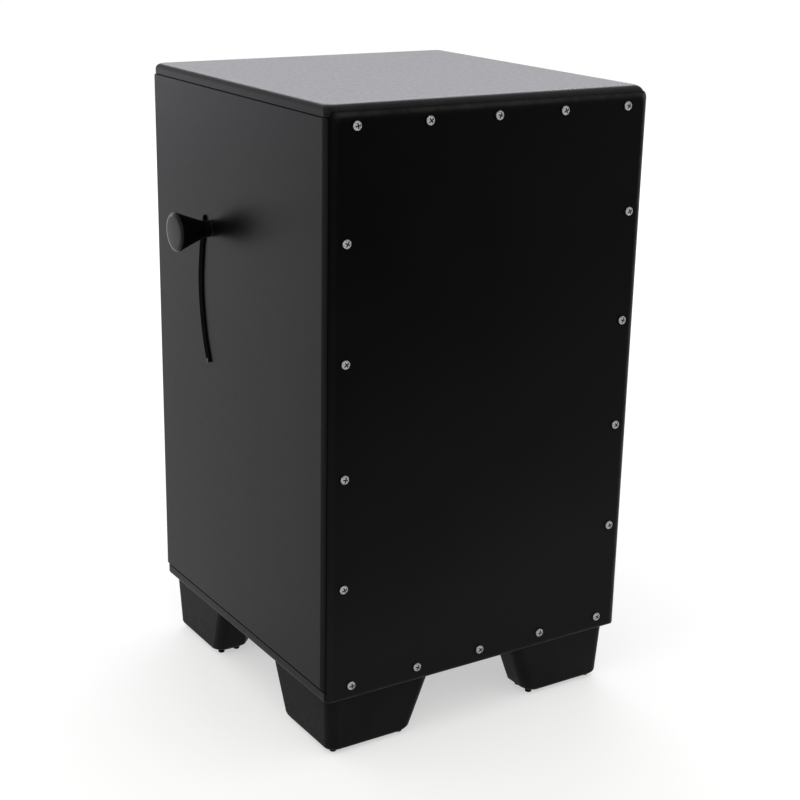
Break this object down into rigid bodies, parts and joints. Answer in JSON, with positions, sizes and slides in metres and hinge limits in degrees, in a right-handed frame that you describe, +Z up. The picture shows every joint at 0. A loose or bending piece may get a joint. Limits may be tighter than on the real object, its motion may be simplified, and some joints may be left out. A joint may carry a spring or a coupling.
{
  "type": "snare cajon",
  "caption": "Black wooden box drum with a screwed-on playing face, rear sound hole, corner feet and a side knob that swings snare strands off the face.",
  "frame": {"origin": "on the floor, at the middle of the rectangle that the whole drum covers, knob and screw heads included", "axes": "+Z up, -Y out of the playing face, +X to the right of someone facing it; the knob stands out along -X"},
  "size_m": [0.3346, 0.3104, 0.538],
  "materials": {
    "board_paint": "plywood boards in satin black lacquer",
    "tapa_paint": "thin plywood in satin black lacquer",
    "raw_wood": "bare softwood and beech",
    "moulded_plastic": "matt black moulding",
    "knob_lacquer": "turned and lacquered gloss black",
    "zinc_plate": "bright zinc-plated screws",
    "black_steel": "black oxide steel",
    "snare_wire": "plated spring wire and end plates",
    "nylon": "black nylon",
    "lace_fibre": "flat black woven lace"
  },
  "bodies": {
    "box": {"top_board": "board_paint", "bottom_board": "board_paint", "right_side_panel": "board_paint", "left_side_panel": "board_paint", "tapa": "tapa_paint", "tapa_screw_01": "zinc_plate", "tapa_screw_02": "zinc_plate", "tapa_screw_03": "zinc_plate", "tapa_screw_04": "zinc_plate", "tapa_screw_05": "zinc_plate", "tapa_screw_06": "zinc_plate", "tapa_screw_07": "zinc_plate", "tapa_screw_08": "zinc_plate", "tapa_screw_09": "zinc_plate", "tapa_screw_10": "zinc_plate", "tapa_screw_11": "zinc_plate", "tapa_screw_12": "zinc_plate", "tapa_screw_13": "zinc_plate", "tapa_screw_14": "zinc_plate", "tapa_screw_15": "zinc_plate", "tapa_screw_16": "zinc_plate", "tapa_screw_17": "zinc_plate", "tapa_screw_18": "zinc_plate", "front_top_batten": "raw_wood", "front_bottom_batten": "raw_wood", "front_left_batten": "raw_wood", "front_right_batten": "raw_wood", "rear_top_batten": "raw_wood", "rear_bottom_batten": "raw_wood", "rear_left_batten": "raw_wood", "rear_right_batten": "raw_wood", "back_panel": "board_paint", "foot_front_left": "moulded_plastic", "foot_screw_front_left": "zinc_plate", "foot_front_right": "moulded_plastic", "foot_screw_front_right": "zinc_plate", "foot_rear_right": "moulded_plastic", "foot_screw_rear_right": "zinc_plate", "foot_rear_left": "moulded_plastic", "foot_screw_rear_left": "zinc_plate", "spindle_bush": "nylon", "bearing_block": "raw_wood", "bearing_screw_1": "zinc_plate", "bearing_screw_2": "zinc_plate"},
    "snare": {"knob": "knob_lacquer", "lace": "lace_fibre", "snare_rod": "raw_wood", "spindle_grub_screw": "black_steel", "left_arm": "black_steel", "left_hub_screw": "zinc_plate", "left_tab_screw": "zinc_plate", "right_arm": "black_steel", "right_hub_screw": "zinc_plate", "right_tab_screw": "zinc_plate", "snare_bar": "raw_wood", "snare_strands": "snare_wire", "left_plate_screw": "zinc_plate", "right_plate_screw": "zinc_plate"}
  },
  "joints": [
    {"name": "snare_rod_turn", "type": "hinge", "parent": "box", "child": "snare", "pos_m": [0.01725, 0.0472, 0.4112], "axis": [-1, 0, 0], "range_deg": [0, 10]}
  ]
}
